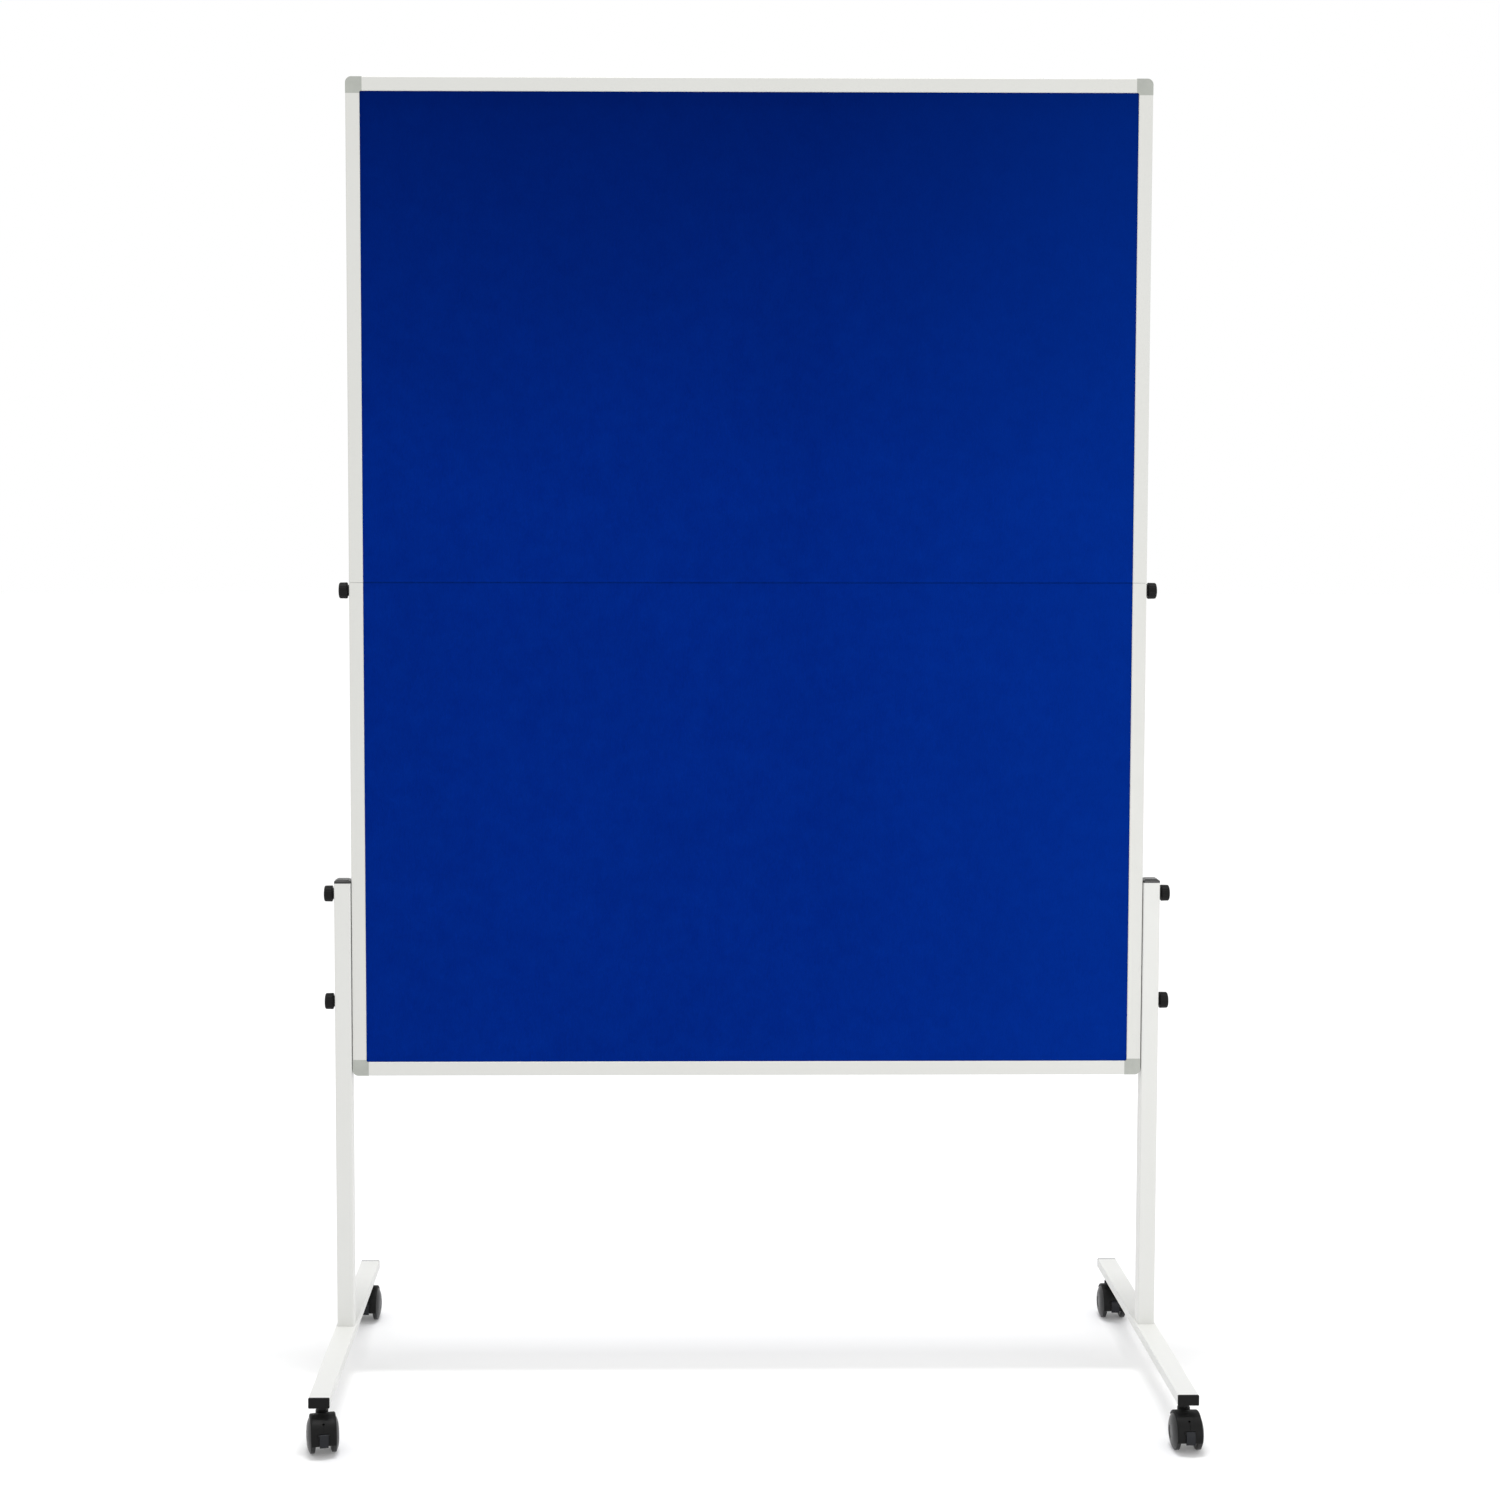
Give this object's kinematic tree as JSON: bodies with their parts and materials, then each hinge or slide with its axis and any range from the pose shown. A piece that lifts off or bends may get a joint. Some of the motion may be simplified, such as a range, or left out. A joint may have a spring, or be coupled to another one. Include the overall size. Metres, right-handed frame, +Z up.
{
  "type": "rolling pin board",
  "caption": "Rolling double-sided felt pin board that folds in half across its middle, height-clamped between two castor legs with lobed knobs.",
  "frame": {"origin": "on the floor, midway between the two legs and under the board's middle plane", "axes": "+X to the right seen from the front, +Y towards the back (hinges are behind), +Z up"},
  "size_m": [1.284, 0.5975, 1.97],
  "materials": {
    "white_coat": "off-white powder coat on extruded aluminium",
    "white_steel": "off-white powder coat on steel tube",
    "grey_plastic": "light grey moulded plastic, fine grain",
    "black_plastic": "black moulded plastic, fine grain",
    "castor_nylon": "black nylon, satin",
    "pedal_plastic": "dark blue-grey moulded plastic",
    "blue_felt": "royal blue needled felt",
    "core_board": "soft fibre board",
    "zinc_steel": "zinc plated steel",
    "black_steel": "black coated steel"
  },
  "bodies": {
    "stand": {"left_post": "white_steel", "right_post": "white_steel", "left_foot": "white_steel", "right_foot": "white_steel", "post_caps": "black_plastic", "foot_end_caps": "black_plastic", "post_plugs": "black_plastic", "foot_screws": "zinc_steel", "clamp_bolts": "zinc_steel", "castor_stems": "black_steel", "castor_nuts": "zinc_steel"},
    "lower_panel": {"lower_core": "core_board", "lower_front_felt": "blue_felt", "lower_back_felt": "blue_felt", "lower_left_rail": "white_coat", "lower_right_rail": "white_coat", "bottom_rail": "white_coat", "bottom_left_corner": "grey_plastic", "bottom_right_corner": "grey_plastic", "hinge_lower_leaves": "white_steel", "hinge_pins": "zinc_steel", "hinge_lower_rivets": "zinc_steel"},
    "upper_panel": {"upper_core": "core_board", "upper_front_felt": "blue_felt", "upper_back_felt": "blue_felt", "upper_left_rail": "white_coat", "upper_right_rail": "white_coat", "top_rail": "white_coat", "top_left_corner": "grey_plastic", "top_right_corner": "grey_plastic", "hinge_upper_leaves": "white_steel", "hinge_upper_rivets": "zinc_steel"},
    "left_lock": {"left_lock_bar": "zinc_steel"},
    "left_fold_knob": {"left_fold_knob": "black_plastic"},
    "left_upper_clamp_knob": {"left_upper_clamp_knob": "black_plastic"},
    "left_lower_clamp_knob": {"left_lower_clamp_knob": "black_plastic"},
    "right_lock": {"right_lock_bar": "zinc_steel"},
    "right_fold_knob": {"right_fold_knob": "black_plastic"},
    "right_upper_clamp_knob": {"right_upper_clamp_knob": "black_plastic"},
    "right_lower_clamp_knob": {"right_lower_clamp_knob": "black_plastic"},
    "front_left_castor": {"front_left_castor_hood": "black_plastic", "front_left_castor_axle": "zinc_steel"},
    "front_left_left_wheel": {"front_left_left_wheel": "castor_nylon"},
    "front_left_right_wheel": {"front_left_right_wheel": "castor_nylon"},
    "front_left_brake": {"front_left_brake_pedal": "pedal_plastic"},
    "front_right_castor": {"front_right_castor_hood": "black_plastic", "front_right_castor_axle": "zinc_steel"},
    "front_right_left_wheel": {"front_right_left_wheel": "castor_nylon"},
    "front_right_right_wheel": {"front_right_right_wheel": "castor_nylon"},
    "front_right_brake": {"front_right_brake_pedal": "pedal_plastic"},
    "rear_left_castor": {"rear_left_castor_hood": "black_plastic", "rear_left_castor_axle": "zinc_steel"},
    "rear_left_left_wheel": {"rear_left_left_wheel": "castor_nylon"},
    "rear_left_right_wheel": {"rear_left_right_wheel": "castor_nylon"},
    "rear_left_brake": {"rear_left_brake_pedal": "pedal_plastic"},
    "rear_right_castor": {"rear_right_castor_hood": "black_plastic", "rear_right_castor_axle": "zinc_steel"},
    "rear_right_left_wheel": {"rear_right_left_wheel": "castor_nylon"},
    "rear_right_right_wheel": {"rear_right_right_wheel": "castor_nylon"},
    "rear_right_brake": {"rear_right_brake_pedal": "pedal_plastic"}
  },
  "joints": [
    {"name": "board_height", "type": "slide", "parent": "stand", "child": "lower_panel", "axis": [0, 0, 1], "range_m": [-0.3, 0.05]},
    {"name": "panel_fold", "type": "hinge", "parent": "lower_panel", "child": "upper_panel", "pos_m": [0, 0.0126, 1.22], "axis": [-1, 0, 0], "range_deg": [0, 180]},
    {"name": "left_fold_lock", "type": "slide", "parent": "lower_panel", "child": "left_lock", "axis": [0, 0, 1], "range_m": [-0.05, 0]},
    {"name": "left_fold_knob_turn", "type": "hinge", "parent": "left_lock", "child": "left_fold_knob", "pos_m": [-0.608, 0, 1.208], "axis": [-1, 0, 0], "range_deg": [0, 360]},
    {"name": "left_upper_clamp_turn", "type": "hinge", "parent": "stand", "child": "left_upper_clamp_knob", "pos_m": [-0.634, 0, 0.748], "axis": [-1, 0, 0], "range_deg": [0, 360]},
    {"name": "left_lower_clamp_turn", "type": "hinge", "parent": "stand", "child": "left_lower_clamp_knob", "pos_m": [-0.634, 0, 0.583], "axis": [-1, 0, 0], "range_deg": [0, 360]},
    {"name": "right_fold_lock", "type": "slide", "parent": "lower_panel", "child": "right_lock", "axis": [0, 0, 1], "range_m": [-0.05, 0]},
    {"name": "right_fold_knob_turn", "type": "hinge", "parent": "right_lock", "child": "right_fold_knob", "pos_m": [0.608, 0, 1.208], "axis": [1, 0, 0], "range_deg": [0, 360]},
    {"name": "right_upper_clamp_turn", "type": "hinge", "parent": "stand", "child": "right_upper_clamp_knob", "pos_m": [0.634, 0, 0.748], "axis": [1, 0, 0], "range_deg": [0, 360]},
    {"name": "right_lower_clamp_turn", "type": "hinge", "parent": "stand", "child": "right_lower_clamp_knob", "pos_m": [0.634, 0, 0.583], "axis": [1, 0, 0], "range_deg": [0, 360]},
    {"name": "front_left_swivel", "type": "hinge", "parent": "stand", "child": "front_left_castor", "pos_m": [-0.6135, -0.26, 0.05], "axis": [0, 0, 1], "continuous": true},
    {"name": "front_left_left_roll", "type": "hinge", "parent": "front_left_castor", "child": "front_left_left_wheel", "pos_m": [-0.61017, -0.27565, 0.025], "axis": [0.9781, 0.2079, 0], "continuous": true},
    {"name": "front_left_right_roll", "type": "hinge", "parent": "front_left_castor", "child": "front_left_right_wheel", "pos_m": [-0.61017, -0.27565, 0.025], "axis": [0.9781, 0.2079, 0], "continuous": true},
    {"name": "front_left_brake_flip", "type": "hinge", "parent": "front_left_castor", "child": "front_left_brake", "pos_m": [-0.60426, -0.30348, 0.03316], "axis": [-0.9781, -0.2079, 0], "range_deg": [0, 40]},
    {"name": "front_right_swivel", "type": "hinge", "parent": "stand", "child": "front_right_castor", "pos_m": [0.6135, -0.26, 0.05], "axis": [0, 0, 1], "continuous": true},
    {"name": "front_right_left_roll", "type": "hinge", "parent": "front_right_castor", "child": "front_right_left_wheel", "pos_m": [0.6135, -0.276, 0.025], "axis": [1, 0, 0], "continuous": true},
    {"name": "front_right_right_roll", "type": "hinge", "parent": "front_right_castor", "child": "front_right_right_wheel", "pos_m": [0.6135, -0.276, 0.025], "axis": [1, 0, 0], "continuous": true},
    {"name": "front_right_brake_flip", "type": "hinge", "parent": "front_right_castor", "child": "front_right_brake", "pos_m": [0.6135, -0.30445, 0.03316], "axis": [-1, 0, 0], "range_deg": [0, 40]},
    {"name": "rear_left_swivel", "type": "hinge", "parent": "stand", "child": "rear_left_castor", "pos_m": [-0.6135, 0.26, 0.05], "axis": [0, 0, 1], "continuous": true},
    {"name": "rear_left_left_roll", "type": "hinge", "parent": "rear_left_castor", "child": "rear_left_left_wheel", "pos_m": [-0.6135, 0.244, 0.025], "axis": [1, 0, 0], "continuous": true},
    {"name": "rear_left_right_roll", "type": "hinge", "parent": "rear_left_castor", "child": "rear_left_right_wheel", "pos_m": [-0.6135, 0.244, 0.025], "axis": [1, 0, 0], "continuous": true},
    {"name": "rear_left_brake_flip", "type": "hinge", "parent": "rear_left_castor", "child": "rear_left_brake", "pos_m": [-0.6135, 0.21555, 0.03316], "axis": [-1, 0, 0], "range_deg": [0, 40]},
    {"name": "rear_right_swivel", "type": "hinge", "parent": "stand", "child": "rear_right_castor", "pos_m": [0.6135, 0.26, 0.05], "axis": [0, 0, 1], "continuous": true},
    {"name": "rear_right_left_roll", "type": "hinge", "parent": "rear_right_castor", "child": "rear_right_left_wheel", "pos_m": [0.6135, 0.244, 0.025], "axis": [1, 0, 0], "continuous": true},
    {"name": "rear_right_right_roll", "type": "hinge", "parent": "rear_right_castor", "child": "rear_right_right_wheel", "pos_m": [0.6135, 0.244, 0.025], "axis": [1, 0, 0], "continuous": true},
    {"name": "rear_right_brake_flip", "type": "hinge", "parent": "rear_right_castor", "child": "rear_right_brake", "pos_m": [0.6135, 0.21555, 0.03316], "axis": [-1, 0, 0], "range_deg": [0, 40]}
  ]
}
